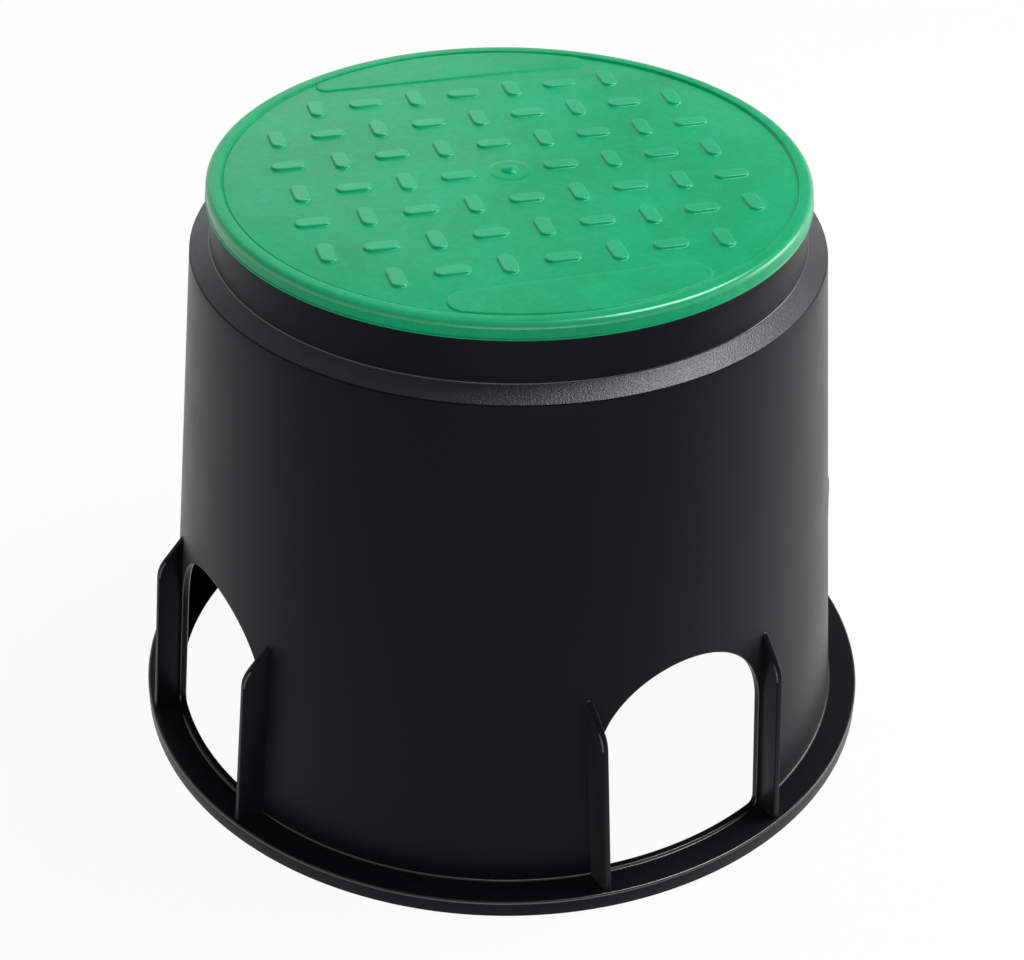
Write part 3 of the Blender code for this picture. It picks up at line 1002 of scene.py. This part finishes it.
def end_panel(form, depth, end, side):
    """Raised panel between a chord and the rim's curve. side is -1 at the front of the pattern."""
    bow = FIELD_RADIUS - PANEL_MARGIN
    middle = FIELD_RADIUS - depth + end
    across = sqrt((bow - end) ** 2 - middle ** 2)
    lean = asin(across / (bow - end))
    right = bend(across, middle, end, -pi / 2, pi / 2 - lean, PANEL_END_STEPS)
    curve = bend(0.0, 0.0, bow, pi / 2 - lean, pi / 2 + lean, PANEL_CURVE_STEPS)
    left = bend(-across, middle, end, pi / 2 + lean, 1.5 * pi, PANEL_END_STEPS)
    outline = right + curve[1:-1] + left
    if side < 0:
        outline = [(Vector((p.x, -p.y)), Vector((n.x, -n.y))) for p, n in reversed(outline)]
    raised(form, outline, PANEL_SIDE, FIELD_Z)


def end_panels():
    """The two raised panels of the lid, turned with its pattern."""
    form = bmesh.new()
    end_panel(form, *FRONT_PANEL, -1)
    end_panel(form, *BACK_PANEL, 1)
    turn = Matrix.Rotation(LID_TURN, 3, "Z")
    bmesh.ops.rotate(form, verts=form.verts, cent=(0.0, 0.0, 0.0), matrix=turn)
    return form


def build_object():
    """All pieces of the box, in their places."""
    blacks = black_finishes()
    black, _, burnished, inside_shade = blacks
    green, polished, trodden_and_sheen = green_finishes()
    lock = {"Copies": LUG_COUNT, "First Turn": pi / LUG_COUNT}

    shell = keep("box_shell", box_shell(), "box", blacks, body_finish)
    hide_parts("box_body")
    keep("foot_fillet", foot_fillet(), "box", [burnished])
    ring = ring_tree("Ring of copies", black)
    fins = {"Copies": ARCH_COUNT, "First Turn": 0.0}
    through_tree("arch_fins", fin_pair(), ring, fins, "box", blacks, body_finish)
    # The ledges inside the neck take the same painted inside shade
    through_tree("lock_ledges", lock_ledge(), ring, lock, "box", [inside_shade])

    cover = keep("lid_cover", lid_cover(), "lid", [green, polished], lid_finish)
    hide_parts("lid")
    ring_green = ring_tree("Ring of copies under the lid", green)
    through_tree("lock_lugs", lock_lug(), ring_green, lock, "lid", [green])
    ribs = {"Copies": RIB_COUNT, "First Turn": LID_TURN + pi / RIB_COUNT}
    through_tree("lid_ribs", stiffening_rib(), ring_green, ribs, "lid", [green])
    lattice = {
        "Pitch Across": TREAD_ACROSS,
        "Pitch Along": TREAD_ALONG,
        "Columns Each Way": TREAD_COLUMNS,
        "Rows Each Way": TREAD_ROWS,
        "Reach": TREAD_REACH,
        "Clear Centre": TREAD_CLEAR,
        "Pattern Turn": LID_TURN,
    }
    through_tree("tread_bars", tread_bar(), tread_tree(trodden_and_sheen), lattice, "lid", [trodden_and_sheen])
    keep("end_panels", end_panels(), "lid", [green])


def seen_directly(tree):
    """One for what the eye sees, also by way of a gloss or through something clear, and nought otherwise."""
    path = add(tree, "ShaderNodeLightPath").outputs
    either = add(
        tree,
        "ShaderNodeMath",
        {0: path["Is Camera Ray"], 1: path["Is Glossy Ray"]},
        operation="MAXIMUM",
    )
    return add(
        tree,
        "ShaderNodeMath",
        {0: either.outputs["Value"], 1: path["Is Transmission Ray"]},
        operation="MAXIMUM",
    ).outputs["Value"]


def matt_white_paper():
    """Paper with no gloss. The eye sees it nearly plain white, with the box's soft shadow on it."""
    mat = bpy.data.materials.new("Matt white paper")
    mat.use_nodes = True
    tree = mat.node_tree
    tree.nodes.clear()
    paper = add(tree, "ShaderNodeBsdfDiffuse", {"Color": linear(PAPER)}).outputs[0]
    white = add(tree, "ShaderNodeEmission", {"Color": linear("FFFFFF"), "Strength": 1.0}).outputs[0]
    lit = add(tree, "ShaderNodeMixShader", {"Fac": WHITE_SHARE, 1: paper, 2: white}).outputs[0]
    both = add(tree, "ShaderNodeMixShader", {"Fac": seen_directly(tree), 1: paper, 2: lit}).outputs[0]
    add(tree, "ShaderNodeOutputMaterial", {"Surface": both})
    return mat


def floor():
    """Pale paper floor that sweeps up far behind the box, so that low views are white too."""
    form = bmesh.new()
    bend_middle = FLOOR_RADIUS - PAPER_BEND
    sweep = arc(bend_middle, PAPER_BEND - FLOOR_DROP, PAPER_BEND, -pi / 2, 0.0, PAPER_BEND_STEPS)
    turned(form, [(0.0, -FLOOR_DROP), *sweep, (FLOOR_RADIUS, PAPER_HEIGHT)], False)
    bmesh.ops.remove_doubles(form, verts=form.verts, dist=WELD)
    for face in form.faces:
        face.smooth = True
    mesh = bpy.data.meshes.new("floor")
    form.to_mesh(mesh)
    form.free()
    mesh.materials.append(matt_white_paper())
    piece = bpy.data.objects.new("floor", mesh)
    bpy.context.scene.collection.objects.link(piece)


def from_camera(across, back, up):
    """Place in the room as the camera sees it: across to its right, back behind the box, and up."""
    turn = Matrix.Rotation(VIEW_AZIMUTH, 3, "Z")
    return turn @ Vector((across, back, up))


def soft_box(name, place, target, size, watts):
    """Rectangular soft light that points at a target."""
    lamp = bpy.data.lights.new(name, "AREA")
    lamp.shape = "RECTANGLE"
    lamp.size = size[0]
    lamp.size_y = size[1]
    lamp.energy = watts
    piece = bpy.data.objects.new(name, lamp)
    bpy.context.scene.collection.objects.link(piece)
    aim = Vector(target) - Vector(place)
    piece.matrix_world = Matrix.Translation(place) @ aim.to_track_quat("-Z", "Y").to_matrix().to_4x4()


def room():
    """Pale room: an even soft light from all sides."""
    world = bpy.data.worlds.new("Pale room")
    bpy.context.scene.world = world
    world.use_nodes = True
    tree = world.node_tree
    tree.nodes.clear()
    walls = add(tree, "ShaderNodeBackground", {"Color": linear("FFFFFF"), "Strength": ROOM_LIGHT})
    add(tree, "ShaderNodeOutputWorld", {"Surface": walls.outputs[0]})


def studio():
    """Four soft boxes in a pale room: the key high up, one behind, one low at the right and one in front."""
    room()
    for name, (place, height, size, watts) in SOFT_BOXES.items():
        soft_box(name, from_camera(*place), (0.0, 0.0, height), size, watts)


def camera():
    """Camera at the photograph's viewing angle."""
    aim = Vector(VIEW_AIM)
    eye = aim + from_camera(0.0, -VIEW_DISTANCE * cos(VIEW_ELEVATION), VIEW_DISTANCE * sin(VIEW_ELEVATION))
    forward = (aim - eye).normalized()
    right = forward.cross(Vector((0.0, 0.0, 1.0))).normalized()
    up = right.cross(forward)
    across = right * cos(VIEW_ROLL) + up * sin(VIEW_ROLL)
    upwards = up * cos(VIEW_ROLL) - right * sin(VIEW_ROLL)
    lens = bpy.data.cameras.new("camera")
    lens.sensor_fit = "HORIZONTAL"
    lens.sensor_width = VIEW_SENSOR
    lens.lens = VIEW_LENS
    lens.clip_start = NEAREST_SEEN
    lens.clip_end = FARTHEST_SEEN
    piece = bpy.data.objects.new("camera", lens)
    bpy.context.scene.collection.objects.link(piece)
    turn = Matrix((across, upwards, -forward)).transposed().to_4x4()
    piece.matrix_world = Matrix.Translation(eye) @ turn
    bpy.context.scene.camera = piece


bpy.context.scene.view_settings.view_transform = "Standard"
build_object()
floor()
studio()
camera()
